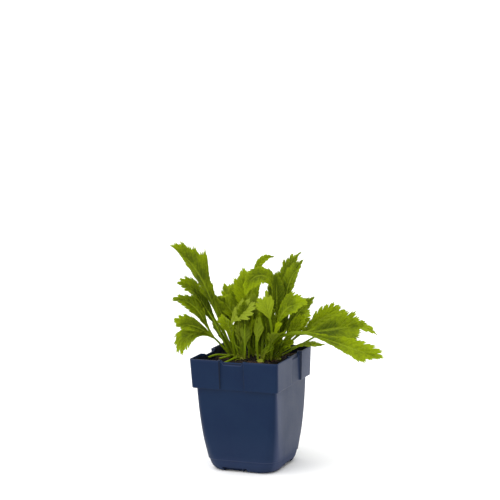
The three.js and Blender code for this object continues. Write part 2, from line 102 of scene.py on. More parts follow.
class Shader:
    def __init__(self, name):
        self.material = bpy.data.materials.new(name)
        self.material.use_nodes = True
        tree = self.material.node_tree
        self.nodes, self.links = tree.nodes, tree.links
        self.nodes.clear()

    def add(self, kind, settings=None, values=None, out=None):
        node = self.nodes.new(kind)
        for name, value in (settings or {}).items():
            setattr(node, name, value)
        for name, value in (values or {}).items():
            if isinstance(value, Wire):
                self.links.new(value.socket, node.inputs[name])
            else:
                node.inputs[name].default_value = value
        usable = [socket for socket in node.outputs if socket.enabled]
        return Wire(self, node.outputs[out] if out else usable[0]) if usable else node

    def mix(self, factor, first, second):
        first, second = ((*c, 1) if isinstance(c, tuple) else c for c in (first, second))
        return self.add("ShaderNodeMix", {"data_type": "RGBA"}, {0: factor, 6: first, 7: second})

    def layers(self, look, first, *steps):  # every step lays one of the look's colours on through a mask
        colour = look[first]
        for mask, name in steps:
            colour = self.mix(mask, colour, look[name])
        return colour

    def noise(self, scale, detail, rough, place=None, distort=0):
        values = {"Scale": scale, "Detail": detail, "Roughness": rough, "Distortion": distort}
        return self.add("ShaderNodeTexNoise", None, {**values, "Vector": place or self.place()}, "Fac")

    def place(self):
        return self.add("ShaderNodeTexCoord", None, None, "Object")

    def mark(self, name):  # the three parts of a mark that the mesh holds
        wire = self.add("ShaderNodeAttribute", {"attribute_name": name}, None, "Vector")
        return [self.add("ShaderNodeSeparateXYZ", None, {0: wire}, axis) for axis in "XYZ"]

    def finish(self, values, relief=None, depth=0):
        if relief is not None:
            bump = {"Height": relief, "Distance": depth, "Strength": 1}
            values["Normal"] = self.add("ShaderNodeBump", None, bump)
        surface = self.add("ShaderNodeBsdfPrincipled", None, values)
        self.add("ShaderNodeOutputMaterial", None, {"Surface": surface})
        return self.material


# meshes
class Heap:  # points, faces and marks of several bodies that end up in one mesh
    def __init__(self):
        self.points, self.faces, self.marks = [], [], {}

    def add(self, points, faces, **marks):
        start = len(self.points)
        self.points.extend(points)
        self.faces.extend(tuple(start + i for i in face) for face in faces)
        for name, values in marks.items():
            self.marks.setdefault(name, []).extend(values)


def meshObject(name, points, faces, material):
    mesh = bpy.data.meshes.new(name)
    mesh.from_pydata([tuple(p) for p in points], [], faces)
    mesh.materials.append(material)
    return addObject(name, mesh)


def makePiece(name, heap, material, slot, *nodes):
    piece = meshObject(name, heap.points, heap.faces, material)
    mesh = piece.data
    for mark, values in heap.marks.items():
        values = values + [(0, 0, 0)] * (len(heap.points) - len(values))  # bodies without marks come last
        data = mesh.attributes.new(mark, "FLOAT_VECTOR", "POINT").data
        data.foreach_set("vector", np.asarray(values, np.float32).ravel())
    mesh.shade_smooth()
    mesh.validate()
    mesh.update()
    if nodes:
        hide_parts(*nodes)
    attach(piece, "root")
    return piece


def ease(t):
    t = np.clip(t, 0, 1)
    return t * t * (3 - 2 * t)


def blend(a, b, t):
    return a + (b - a) * t


def circle(count):  # cosine and sine of equal turns
    turns = [2 * pi * k / count for k in range(count)]
    return [(cos(turn), sin(turn)) for turn in turns]


def gridFaces(rows, columns, ring=False, missing=()):
    faces = []
    for i in range(rows - 1):
        for j in range(columns if ring else columns - 1):
            a, b = i * columns + j, i * columns + (j + 1) % columns
            if (i, j) not in missing:
                faces.append((a, b, b + columns, a + columns))
    return faces


def closedRings(rows, around):  # faces of a closed body of equal rings
    ends = [tuple(reversed(range(around))), tuple(range((rows - 1) * around, rows * around))]
    return gridFaces(rows, around, ring=True) + ends


def layerFaces(rows, columns, missing, offset, flip=False):
    # Two layers of rings, offset apart in the point list, with walls round the missing cells
    faces = []
    for a, b, c, d in gridFaces(rows, columns, ring=True, missing=missing):
        pair = [(a, b, c, d), (a, d, c, b)]
        first, second = reversed(pair) if flip else pair
        faces += [first, tuple(offset + k for k in second)]
    for i, j in missing:
        for di, dj in ((1, 0), (-1, 0), (0, 1), (0, -1)):
            if (i + di, (j + dj) % columns) in missing or not 0 <= i + di < rows - 1:
                continue
            if di:
                row = i + (di > 0)
                a, b = row * columns + j, row * columns + (j + 1) % columns
            else:
                column = (j + (dj > 0)) % columns
                a, b = i * columns + column, (i + 1) * columns + column
            face = (a, b, offset + b, offset + a)
            faces.append(face[::-1] if (di > 0 or dj < 0) else face)
    return faces


# The pot is walked round side by side, each side from corner to corner; sizes in mm
pot = {
    "rimHalf": 46.25, "height": 113, "wall": 1.2, "neckHalf": 41.95, "neckHeight": 83.9, "bevelFrom": 112.6,
    # the set-back panel of a collar side, and how far out its face, top step and back stand
    "panelHalf": 12.8, "panelAt": 43.65, "topStepAt": 42.65, "backAt": 41.45, "backFrom": 86,
    # its shift from the middle of each side, reached over these heights
    "shifts": (-2.1, 5.7, -2.1, 5.7), "shiftFrom": 56, "shiftOver": 24,
    # how far its top edge and the rim over it are lowered, and how wide they ease in
    "topDrop": 4.8, "topEase": 4, "dip": 1.8, "dipEase": 3.5, "dipFrom": 104,
    # rows that are pushed down to that edge, that round it, and that make the rim
    "pushedFrom": 101, "edgeLow": 107.8, "edgeHigh": 109, "rimFrom": 112, "rounding": 0.3,
    # the long cut between two feet and the notch beside it: from, to, and the floor's edge there
    "cutHeight": 4.2, "cuts": [(-19.3, 2, 29.5), (2.8, 6.8, 27)],
    "floorTop": 4.6, "floorTopHalf": 33.5, "floorFoot": 0.9, "floorFootHalf": 31, "floorCorner": 14.6,
    "holeRing": 18, "holeRadius": 3.2, "cornerSteps": 6,
    # turned bodies under the floor, as (radius, height)
    "boss": [(0.01, 0), (7.6, 0), (7.9, 0.1), (8, 0.4), (8, 2), (0.01, 2.2)],
    "foot": [(0.01, 0), (5.3, 0), (5.6, 0.1), (5.8, 0.4), (6.4, 2.2), (0.01, 2.4)], "footReach": 22.7,
}
walkStart = -0.75 * pi  # direction of the corner where the walk begins
# Stations of the wall: height, half width, corner radius; and the heights of the rows made from them
footLine = [(0.8, 32.3, 15.6), (2, 33.5, 15.6), (4.6, 35, 15.6), (8, 36, 15.2), (11.4, 36.6, 14.5)]
footRows = [0.8, 1, 1.35, 2, 3.1, 4.2, 4.6, 6, 8, 10, 11.1, 11.4]
bodyLine = [
    (12, 37.3, 14.4), (20, 38.1, 12.4), (30, 39.2, 10.2), (43, 40.3, 8.5), (56, 41.1, 7.2), (80, 42, 5.2),
]
bodyRows = [12, 12.7, 16, 20, 25, 30, 36, 43, 50, 56, 62, 68, 74, 80]
collarLine = [(84.6, 45.15, 3.4), (98, 45.7, 3.2), (112.2, 46.25, 3)]
collarRows = [84.6, 85.2, 88, 92, 96, 101, 104.5, 107.2, 107.8, 108.1, 108.4, 108.7, 109, 110.5, 112.2]


def throughStations(line, heights):  # a smooth curve through the stations
    line = np.array(line)
    slopes = np.gradient(line[:, 1:], line[:, 0], axis=0)
    rows = []
    for z in heights:
        i = min(max(int(np.searchsorted(line[:, 0], z)) - 1, 0), len(line) - 2)
        gap = line[i + 1, 0] - line[i, 0]
        t = (z - line[i, 0]) / gap
        between = blend(line[i, 1:], line[i + 1, 1:], ease(t))
        bend = slopes[i] * t * (1 - t) ** 2 - slopes[i + 1] * t * t * (1 - t)
        rows.append((z, *(between + bend * gap)))
    return rows


potProfile = (
    throughStations(footLine, footRows) + [(11.7, 37, 14.5)] + throughStations(bodyLine, bodyRows)
    + [(83.2, 42, 4.9), (83.8, 42.1, 5), (84.05, 43.9, 3.9), (84.25, 44.9, 3.5)]
    + throughStations(collarLine, collarRows) + [(112.75, 46.2, 3), (112.97, 46, 2.9)]
)
# Columns beside the middle of a panel, and shares of the way on to the corner
sideStations = [
    0, 0.7, 1.4, 2, 2.8, 4.1, 5.4, 6.8, 8, 9.3, 10.6, 11.7, 12.2, 12.55, 12.8, 13.3, 14, 14.3, 15.4,
]
cornerShares = [0.25, 0.5, 0.75, 1]


def halfSide(half, radius, shift):  # from the middle of a panel to the middle of the corner
    reach, near, steps = half - radius, sideStations[-1], pot["cornerSteps"]
    side = [(shift + x, half) for x in sideStations]
    side += [(blend(near + shift, reach, share), half) for share in cornerShares]
    turns = [step / steps * pi / 4 for step in range(1, steps + 1)]
    return side + [(reach + radius * sin(turn), reach + radius * cos(turn)) for turn in turns]


def ringPoints(half, radius, shift=0):
    left = [(-x, out) for x, out in halfSide(half, radius, -shift)]
    return left[:0:-1] + halfSide(half, radius, shift)[:-1]


def quarterTurned(x, out, turn):  # a place on a side, seen from above
    return ((x, -out), (out, x), (-x, out), (-out, -x))[turn]


def within(x, full, none):  # 1 up to full on both sides of the middle, eased to 0 at none
    return 1 - ease((abs(x) - full) / (none - full))


def outerPoint(x, out, z):
    half, top, rounding = pot["panelHalf"], pot["height"], pot["rounding"]
    low, high = pot["edgeLow"], pot["edgeHigh"]
    if abs(x) > half + 0.1 or z < pot["neckHeight"]:
        return out, z
    rim = top - pot["dip"] * within(x, half - pot["dipEase"], half)
    edge = min(top - pot["topDrop"] * within(x, half - pot["topEase"], half + 0.6), rim - 1.3)
    face = blend(pot["panelAt"], pot["topStepAt"], ease((z - low) / (high - low)))
    out = blend(out, min(out, face), within(x, half - 0.25, half))
    if z > pot["rimFrom"]:
        return out, rim - (top - z)
    if z > high:
        return out, blend(edge + rounding, rim - 0.8, (z - high) / (collarRows[-1] - high))
    if z >= low:
        return out, edge - rounding + (z - low) * 0.5
    start = pot["pushedFrom"]
    pushed = edge - rounding - (low - z) * (edge - rounding - start) / (low - start)
    return out, pushed if z > start else z


def innerPoint(x, out, z):
    half, start = pot["panelHalf"], pot["dipFrom"]
    if z > pot["backFrom"]:
        out = blend(out, min(out, pot["backAt"]), within(x, 14, 14.3))
    sunk = ease((z - start) / (pot["height"] - start))
    return out, z - pot["dip"] * within(x, half - pot["dipEase"], half) * sunk


def innerHalf(z, half):
    if z < pot["neckHeight"]:
        return half - pot["wall"]
    up = (z - pot["neckHeight"]) / (pot["height"] - pot["neckHeight"])
    bevel = max(z - pot["bevelFrom"], 0) * 0.5
    return blend(pot["neckHalf"], pot["rimHalf"], up) - pot["wall"] + bevel


def floorEdgeAt(x, turn):  # only where a cut is; neighbouring sides mirror each other
    x = -x if turn % 2 else x
    return next((edge for start, end, edge in pot["cuts"] if start < x < end), None)


markLevels = {  # where the painted shade, painted highlight, painted sheen and dust on the wall lie, and how strong they are
    "paintedShadeTo": 111.5, "stepWidth": 0.5, "rim": 0.35, "line": 0.9, "lineFrom": 11.5, "lineTo": 12.3,
    "sheenSide": 1, "dustAndSheen": 0.3, "nearSheen": 0.5, "lowSheen": 0.3, "farSheen": 0.5, "edgeShare": 0.45,
}


def wallMark(x, z, inner):  # painted shade inside and on the step beside the panel and its ledge, painted highlight on edges
    if inner:
        # painted shade over the inner wall below the rim
        return z < markLevels["paintedShadeTo"], 0, 0
    low, high, rim = pot["edgeHigh"] - 1, pot["edgeHigh"], pot["rimFrom"]
    onPanel = abs(x) < pot["panelHalf"] - 0.3
    onCollar = pot["neckHeight"] + 1 < z < rim
    step = within(abs(x) - pot["panelHalf"], 0.02, markLevels["stepWidth"]) if onCollar else 0
    ledge = onPanel and high < z < rim
    # painted highlight: a line above the foot, the top of the rim and the lip of the panel are laid paler
    line = (markLevels["lineFrom"] < z < markLevels["lineTo"]) * markLevels["line"]
    edge = max(onPanel and low < z <= high, (z > rim) * markLevels["rim"], line)
    return 0, max(step, ledge), edge


def sideSheen(x, z, reach, radius):
    # One side is paler with painted sheen, most of all beside its near corner as a painted highlight, low
    # down and at the far end of its collar
    aside = min(max((-x - reach) / (radius * sin(pi / 4)), 0), 1)
    along = (x + reach) / (2 * reach)
    onCollar = z > pot["neckHeight"]
    near = (1 - ease(along / 0.25)) * (1 - 0.6 * onCollar)
    far = ease((along - 0.6) / 0.4) * onCollar
    low = 1 - ease((z - 8) / 35)
    dustAndSheen = markLevels["dustAndSheen"] + markLevels["nearSheen"] * near + markLevels["lowSheen"] * low + markLevels["farSheen"] * far
    return (1 - aside ** 2) * dustAndSheen / markLevels["edgeShare"]


def potWall(heap):
    points, marks = [], []
    for inner in (False, True):
        pointAt = innerPoint if inner else outerPoint
        for z, half, radius in potProfile:
            if inner:
                half, radius = innerHalf(z, half), max(radius - pot["wall"], 1)
            for turn, full in enumerate(pot["shifts"]):
                shift = full * ease((z - pot["shiftFrom"]) / pot["shiftOver"])
                # only the outer face of one side gets the painted sheen
                dustAndSheenMask = turn == markLevels["sheenSide"] and not inner
                for x, out in ringPoints(half, radius, shift):
                    out, height = pointAt(x - shift, out, z)
                    px, py = quarterTurned(x, out, turn)
                    points.append((px * mm, py * mm, height * mm))
                    paintedShade, shaded, edge = wallMark(x - shift, z, inner)
                    dustAndSheen = sideSheen(x, z, half - radius, radius) if dustAndSheenMask else 0
                    marks.append((paintedShade, shaded, max(edge, dustAndSheen)))
    count = len(potProfile)
    columns = len(points) // (2 * count)
    ring = [x for x, _ in ringPoints(pot["floorTopHalf"], pot["floorCorner"])]
    low = [i for i, row in enumerate(potProfile) if row[0] < pot["cutHeight"]]
    missing = set()  # cells of the wall that the cuts take away
    for turn in range(4):
        for j, (x, ahead) in enumerate(zip(ring, ring[1:])):
            if floorEdgeAt((x + ahead) / 2, turn):
                missing |= {(i, turn * len(ring) + j) for i in low}
    offset = columns * count
    faces = layerFaces(count, columns, missing, offset)
    top = (count - 1) * columns
    for j in range(columns):
        k = (j + 1) % columns
        faces.append((top + j, top + k, offset + top + k, offset + top + j))
        if (0, j) not in missing:
            faces.append((j, offset + j, offset + k, k))
    heap.add(points, faces, wallMarks=marks)


def bendRound(layer, place, turn, block):  # moves the edge of a block onto a drain hole
    outward = Vector((cos(turn), sin(turn)))
    around = Vector((-outward.y, outward.x))
    for r in range(block + 1):
        for s in range(block + 1):
            u, v = s / block * 2 - 1, r / block * 2 - 1
            if max(abs(u), abs(v)) == 1:
                at = (around * u + outward * v) * pot["holeRadius"] / hypot(u, v)
                at += outward * pot["holeRing"]
                point = layer[place(r, s)]
                point.x, point.y = at


def floorPlate(heap):
    # Rings with bent blocks at the drain holes, stitched to an edge that follows the wall and the cuts
    sectors, block, first = 72, 4, 3
    rings = [6, 10, 13, 14.8, 16.4, 18, 19.6, 21.2, 22.6]
    starts = range(1, sectors, 12)
    sectorTurn = 2 * pi / sectors
    layers = []
    for z, half in ((pot["floorTop"], pot["floorTopHalf"]), (pot["floorFoot"], pot["floorFootHalf"])):
        layer = []
        for radius in rings:
            for sector in range(sectors):
                turn = sector * sectorTurn + walkStart
                layer.append(Vector((radius * cos(turn), radius * sin(turn), z)))
        for start in starts:
            turn = (start + block / 2) * sectorTurn + walkStart
            bendRound(layer, lambda r, s: (first + r) * sectors + start + s, turn, block)
        for turn in range(4):
            for x, out in ringPoints(half, pot["floorCorner"]):
                out = min(out, floorEdgeAt(x * 0.999, turn) or out)
                layer.append(Vector((*quarterTurned(x, out, turn), z)))
        layers.append(layer)
    offset = len(layers[0])
    points = layers[0] + layers[1] + [Vector((0, 0, pot["floorTop"])), Vector((0, 0, pot["floorFoot"]))]
    cut = {(first + r, start + s) for start in starts for r in range(block) for s in range(block)}
    faces = layerFaces(len(rings), sectors, cut, offset, flip=True)
    last, edge = (len(rings) - 1) * sectors, len(rings) * sectors
    count = offset - edge
    for a, b, c in stitched(layers[0], last, sectors, edge, count):
        faces.append((a, b, c))
        faces.append((offset + c, offset + b, offset + a))
    for j in range(count):
        a, b = edge + j, edge + (j + 1) % count
        faces.append((a, offset + a, offset + b, b))
    for j in range(sectors):
        k = (j + 1) % sectors
        faces.append((j, k, 2 * offset))
        faces.append((offset + k, offset + j, 2 * offset + 1))
    heap.add([p * mm for p in points], faces)


def stitched(points, inner, innerCount, outer, outerCount):
    # Triangles between two rings that start together and run the same way round
    def passed(index):
        return (atan2(points[index].y, points[index].x) - walkStart + 0.01) % (2 * pi)

    i = j = 0
    while i < innerCount or j < outerCount:
        a, b = inner + i % innerCount, outer + j % outerCount
        nextA, nextB = inner + (i + 1) % innerCount, outer + (j + 1) % outerCount
        aheadA = passed(nextA) if i + 1 < innerCount else 2 * pi
        aheadB = passed(nextB) if j + 1 < outerCount else 2 * pi
        if j >= outerCount or (i < innerCount and aheadA <= aheadB):
            yield a, b, nextA
            i += 1
        else:
            yield a, b, nextB
            j += 1


def edgeReach(turn, half, corner):  # how far a rounded square reaches in a direction
    c, s = abs(cos(turn)), abs(sin(turn))
    straight = half / max(c, s)
    middle = half - corner
    if min(c, s) * straight <= middle:
        return straight
    b = (c + s) * middle
    return b + sqrt(max(b * b - 2 * middle * middle + corner * corner, 0))


def turned(heap, centre, profile, sectors=32):
    # A closed turned body; profile is (radius, height) from the axis out and back
    points = [((centre[0] + radius * c) * mm, (centre[1] + radius * s) * mm, z * mm)
              for radius, z in profile for c, s in circle(sectors)]
    heap.add(points, closedRings(len(profile), sectors))


plastic = {
    "deep": (0.0002, 0.0098, 0.04), "worn": (0.0015, 0.013, 0.044), "dustAndSheen": (0.032, 0.046, 0.1),
    "paintedShade": (0.0045, 0.0048, 0.007), "roughness": 0.36, "ior": 1.235,
}


def plasticMaterial(look):
    shader = Shader("bluePlastic")
    paintedShade, shaded, edge = shader.mark("wallMarks")
    cloud, grain = shader.noise(26, 5, 0.6), shader.noise(2600, 3, 0.7)
    upright = {0: shader.place(), 1: (160, 160, 14)}  # for faint flow lines of the moulding
    flow = shader.noise(1, 4, 0.6, shader.add("ShaderNodeVectorMath", {"operation": "MULTIPLY"}, upright))
    height = shader.add("ShaderNodeSeparateXYZ", None, {0: shader.place()}, "Z")
    splash = shader.noise(210, 5, 0.7).between(0.56, 0.74)
    # dust in patches low down, and the wall laid paler in a band at the foot and towards the foot
    dustAndSheenMask = splash * height.between(0.035, 0, 0.02, 0.14) + height.between(0.018, 0.008, 0, 0.24)
    paleTowardsFoot = height.between(0.05, 0.015, 0, 0.12)
    # painted shade: the step beside the panel and the inside of the wall take the dark colour; the dust
    # colour carries dust as well as painted sheen and painted highlight
    colour = shader.layers(
        look, "deep", (cloud.between(0.35, 0.65), "worn"), (flow.between(0.3, 0.7, 0, 0.35), "worn"),
        (dustAndSheenMask + paleTowardsFoot + edge * markLevels["edgeShare"], "dustAndSheen"), (shaded * 0.6, "paintedShade"),
        (paintedShade * splash.between(0, 1, 0.8, 0.95), "paintedShade"))
    rough = look["roughness"] + cloud.between(0.3, 0.7, -0.03, 0.05) + flow.between(0.3, 0.7, 0, 0.04)
    rough = rough + dustAndSheenMask * 0.8 + paintedShade * 0.3
    values = {"Base Color": colour, "Roughness": rough, "IOR": look["ior"]}
    return shader.finish(values, flow * 0.6 + grain * 0.25, 0.00005)


potHeap = Heap()
potWall(potHeap)
floorPlate(potHeap)
turned(potHeap, (0, 0), pot["boss"])
for sx in (-1, 1):
    for sy in (-1, 1):
        turned(potHeap, (sx * pot["footReach"], sy * pot["footReach"]), pot["foot"])
makePiece("nurseryPot", potHeap, plasticMaterial(plastic), "pot_plastic", "pot")
print("pot made")

soil = {
    "middle": 106.7, "edge": 103.5, "half": 43.2, "panelBack": 41.05, "corner": 2.5, "panelSpan": 43,
    "lumps": 1.5, "grains": 0.5, "cells": 120, "crumbs": 900, "crumbReach": 40,
    "fibres": 190, "fibreReach": 38, "fibreSteps": 9, "lastSpread": 140, "tuft": (22, -31),
    # height, half width and corner radius of the buried sides
    "sides": [(99, 40.9, 3), (84, 40.3, 3.6), (56, 39.4, 7), (43, 38.6, 8.4), (30, 37.5, 10), (12, 35.4, 14),
              (8, 34.2, 14.6), (4.9, 32.8, 14.8)],
}


def wobble(x, y, scale, seed=0):
    return noise.noise(Vector((x * scale + seed, y * scale - seed, seed * 1.7)))


def soilTop(x, y):
    outward = min(max(abs(x), abs(y)) / 45, 1)
    height = blend(soil["middle"], soil["edge"], outward ** 2.2)
    height += soil["lumps"] * wobble(x, y, 0.13) + soil["lumps"] * 0.6 * wobble(x, y, 0.31, 4)
    return height + soil["grains"] * abs(wobble(x, y, 1.1, 9)) + soil["grains"] * 0.6 * wobble(x, y, 2.3, 2)


def soilLimit(x, shift):  # how far the soil reaches before the wall, or before the set-back panel
    return blend(soil["half"], soil["panelBack"], within(x - shift, 14.5, 15.8))


def soilBody(heap):
    cells, span = soil["cells"], soil["panelSpan"]
    n = cells + 1
    top = []
    for i in range(n):
        for j in range(n):
            u, v = j / cells * 2 - 1, i / cells * 2 - 1
            x = u * soilLimit(v * span * copysign(1, u), pot["shifts"][1])
            y = v * soilLimit(-u * span * copysign(1, v), pot["shifts"][0])
            excess = hypot(x, y) - edgeReach(atan2(y, x), soil["half"], soil["corner"])
            if excess > 0:
                x, y = Vector((x, y)) * (1 - excess / hypot(x, y))
            top.append((x * mm, y * mm, soilTop(x, y) * mm))
    heap.add(top, gridFaces(n, n))
    border = [*range(cells), *range(cells, n * n - 1, n), *range(n * n - 1, cells * n, -1),
              *range(cells * n, 0, -n)]
    ring = border
    for z, half, corner in soil["sides"]:
        start = len(heap.points)
        for index in border:
            turn = atan2(top[index][1], top[index][0])
            reach = edgeReach(turn, half, corner)
            heap.points.append((reach * cos(turn) * mm, reach * sin(turn) * mm, z * mm))
        fresh = list(range(start, start + len(border)))
        heap.faces += zip(ring, fresh, fresh[1:] + fresh[:1], ring[1:] + ring[:1])
        ring = fresh
    heap.faces.append(tuple(reversed(ring)))


def crumb(heap, centre, size, draw):
    steps, around = 5, 7
    squash = draw.uniform(0.5, 0.9)
    seed = draw.uniform(0, 50)
    points = []
    for step in range(1, steps):
        tilt = pi * step / steps
        for c, s in circle(around):
            way = Vector((sin(tilt) * c, sin(tilt) * s, cos(tilt)))
            reach = size * (1 + 0.55 * noise.noise(way * 1.4 + Vector((seed, 0, 0))))
            points.append(((centre[0] + way.x * reach) * mm, (centre[1] + way.y * reach) * mm,
                           (centre[2] + way.z * reach * squash) * mm))
    faces = [face[::-1] for face in gridFaces(steps - 1, around, ring=True)]
    top, bottom = len(points), len(points) + 1
    for side in (1, -1):
        points.append((centre[0] * mm, centre[1] * mm, (centre[2] + side * size * squash) * mm))
    last = (steps - 2) * around
    for k in range(around):
        faces.append((top, k, (k + 1) % around))
        faces.append((bottom, last + (k + 1) % around, last + k))
    heap.add(points, faces)


def tube(heap, path, radii, sides, **marks):  # a closed tube along a path, all in mm
    path = [Vector(p) for p in path]
    points, rows = [], len(path)
    side = None
    for i, place in enumerate(path):
        way = (path[min(i + 1, rows - 1)] - path[max(i - 1, 0)]).normalized()
        if side is None:
            side = way.orthogonal().normalized()
        side = (side - way * side.dot(way)).normalized()
        other = way.cross(side)
        for c, s in circle(sides):
            points.append((place + (side * c + other * s) * radii[i]) * mm)
    for name, values in marks.items():
        marks[name] = [value for value in values for _ in range(sides)]
    heap.add(points, closedRings(rows, sides), **marks)


soilLook = {
    "dark": (0.0035, 0.0028, 0.0016), "light": (0.013, 0.009, 0.0045), "red": (0.036, 0.016, 0.0075),
    "grit": (0.024, 0.018, 0.009), "fibreDark": (0.035, 0.016, 0.009), "fibreLight": (0.12, 0.062, 0.028),
}


def soilMaterial(look):
    shader = Shader("darkCompost")
    coarse, fine = shader.noise(90, 6, 0.65), shader.noise(900, 4, 0.7)
    red = shader.noise(240, 3, 0.6, None, 0.6).between(0.55, 0.72)
    colour = shader.layers(look, "dark", (coarse.between(0.35, 0.65), "light"), (red * 0.7, "red"),
                           (fine.between(0.55, 0.8, 0, 0.5), "grit"))
    rough = fine.between(0.3, 0.7, 0.8, 0.98)
    values = {"Base Color": colour, "Roughness": rough, "Specular IOR Level": 0.2}
    return shader.finish(values, fine + coarse, 0.0006)


def fibreMaterial(look):
    shader = Shader("peatFibre")
    tone = shader.noise(130, 3, 0.6)
    colour = shader.layers(look, "fibreDark", (tone.between(0.38, 0.62), "fibreLight"))
    return shader.finish({"Base Color": colour, "Roughness": tone.between(0.2, 0.8, 0.7, 0.9)})


def scattered(draw, reach):
    return draw.uniform(-reach, reach), draw.uniform(-reach, reach)


def fibre(heap, number, draw):
    x, y = scattered(draw, soil["fibreReach"])
    if number > soil["lastSpread"]:  # the others make a tuft near the corner
        x, y = soil["tuft"][0] + x * 0.3, soil["tuft"][1] + y * 0.15
    turn, bend = draw.uniform(0, 2 * pi), draw.uniform(-0.35, 0.35)
    length, path = draw.uniform(3, 13), []
    hump = draw.uniform(0.1, 1.4)
    steps, reach = soil["fibreSteps"], soil["crumbReach"]
    stride = length / (steps - 1)
    for i in range(steps):
        path.append((x, y, soilTop(x, y) + 0.2 + hump * sin(pi * i / (steps - 1))))
        x = min(max(x + stride * cos(turn), -reach), reach)
        y = min(max(y + stride * sin(turn), -reach), reach)
        turn += bend
    radius = draw.uniform(0.1, 0.28)
    swell = [0.5 + 0.5 * sin(pi * (i + 1) / (steps + 1)) for i in range(steps)]
    tube(heap, path, [radius * part for part in swell], 5)


soilHeap, fibreHeap = Heap(), Heap()
soilBody(soilHeap)
draw = random.Random(3)
for _ in range(soil["crumbs"]):
    x, y = scattered(draw, soil["crumbReach"])
    size = 0.35 + 1.5 * draw.random() ** 3
    crumb(soilHeap, (x, y, soilTop(x, y) + size * 0.25), size, draw)
for number in range(soil["fibres"]):
    fibre(fibreHeap, number, draw)
makePiece("compost", soilHeap, soilMaterial(soilLook), "soil", "potting_soil")
makePiece("compostFibres", fibreHeap, fibreMaterial(soilLook), "soil")
print("soil made")


# leaves
# at is where the leaf starts, from the middle of its crown; heading the way it grows, from +X towards +Y;
# rise and fall its slope at the crown and at the tip; roll the tilt of the blade about its midrib
usualLeaf = {
    "turn": 0, "bendAt": 0.6, "bendOver": 1.2, "stalk": 0.42, "roll": 0, "teeth": 6, "cut": 0.2, "skew": 0,
    "cup": 14, "fold": 8, "ripple": 0.6, "waves": 2, "lean": 46, "full": 0.55, "lift": 0, "lobes": (),
    "blunt": 0.62, "fine": 0.15, "curl": 1.1, "quilt": 0.4, "pale": 0,
}
blade = {
    "thick": 0.42, "stalkWidth": 2.3, "stalkThick": 1.7, "rootHeight": 107, "ribHalf": 0.8, "perTooth": 12,
    "stalkRows": 14, "spineSteps": 60, "columns": (0, 0.05, 0.12, 0.24, 0.4, 0.58, 0.76, 0.9, 0.98, 1),
    # the half width at the stalk and at the tip, as shares, and where the tip and the joint begin
    "narrow": 0.14, "tipShare": 0.95, "tipFrom": 0.62, "joinFrom": 0.6,
    "crownRadius": 7, "crownTop": 108.8, "crownDepth": 9,
}


def leaf(at, heading, rise, fall, length, width, **more):
    shape = {**usualLeaf, "at": at, "heading": heading, "rise": rise, "fall": fall, "length": length,
             "width": width, **more}
    shape.setdefault("rollTip", shape["roll"])
    return shape


def spineOf(shape, root):  # places along the midrib with its direction, its side and its upper side
    share = np.linspace(0, 1, blade["spineSteps"] + 1)
    bent = ease((share - shape["bendAt"]) / shape["bendOver"] + 0.5)
    pitch = np.radians(blend(shape["rise"], shape["fall"], bent))
    heading = np.radians(shape["heading"] + shape["turn"] * share ** 1.3)
    roll = np.radians(blend(shape["roll"], shape["rollTip"], share))[:, None]
    along = np.stack([np.cos(pitch) * np.cos(heading), np.cos(pitch) * np.sin(heading), np.sin(pitch)], 1)
    level = np.stack([np.sin(heading), -np.cos(heading), 0 * heading], 1)
    side = level * np.cos(roll) + np.cross(level, along) * np.sin(roll)
    stride = shape["length"] / blade["spineSteps"]
    steps = np.cumsum((along[1:] + along[:-1]) / 2 * stride, 0)
    return np.vstack([[0, 0, 0], steps]) + np.array(root), along, side, np.cross(side, along)


def bladePoints(shape, spine, x, y):
    # x along the midrib and y to the right of it, both arrays; the blade is folded, cupped and waved
    length, half = shape["length"], shape["width"] / 2
    at = np.clip(x / length, 0, 1) * blade["spineSteps"]
    low = np.minimum(at.astype(int), blade["spineSteps"] - 1)
    part = (at - low)[..., None]
    place, along, side, up = (rows[low] * (1 - part) + rows[low + 1] * part for rows in spine)
    out, fold, cupping = np.abs(y), radians(shape["fold"]), radians(shape["cup"]) / half
    angle = fold + cupping * out
    sideways = (np.sin(angle) - sin(fold)) / cupping
    wave = np.sin(2 * pi * shape["waves"] * x / length + np.sign(y) * 1.1)
    waved = shape["ripple"] * np.minimum((out / half) ** 2, 2) * wave
    height = (cos(fold) - np.cos(angle)) / cupping + waved
    point = place + along * np.maximum(x - length, 0)[..., None] + side * (np.sign(y) * sideways)[..., None]
    return point + up * height[..., None], up


def marginOf(shape, share, side, draw):  # where each rib leaves the midrib and where it ends, and its tooth
    half, start = shape["width"] / 2, shape["stalk"] * shape["length"]
    tip = blade["tipShare"] * half
    midrib = blend(start, shape["length"] - tip, share)
    lean = np.radians(shape["lean"]) * (1 - share ** 3.5)
    wide = half / sin(radians(shape["lean"]))
    grown = wide * blend(blade["narrow"], 1, ease(share / shape["full"]))
    ending = ease((share - blade["tipFrom"]) / (1 - blade["tipFrom"]))
    reach = blend(grown, tip, ending) * (1 + side * shape["skew"])
    for lobeSide, where, extra, breadth in shape["lobes"]:
        if lobeSide == side:
            reach = reach + extra * np.exp(-(((share - where) / breadth) ** 2))
    phase = share * shape["teeth"]
    tooth = np.abs(np.sin(pi * phase)) ** shape["blunt"]
    number = np.minimum(phase.astype(int), shape["teeth"] - 1)
    uneven = np.array([draw.uniform(-0.11, 0.09) for _ in range(shape["teeth"])])[number]
    point = (phase * 3 + 0.5 * (side > 0)) % 1  # three small teeth on each big one, steeper towards the tip
    small = np.minimum(point / 0.62, (1 - point) / 0.38) - 0.5
    small = (uneven * tooth + shape["fine"] * small) * np.minimum(share * 4, 1)
    reach = reach * (1 - shape["cut"] * (1 - tooth) + small)
    return midrib, midrib + reach * np.cos(lean), reach * np.sin(lean), number


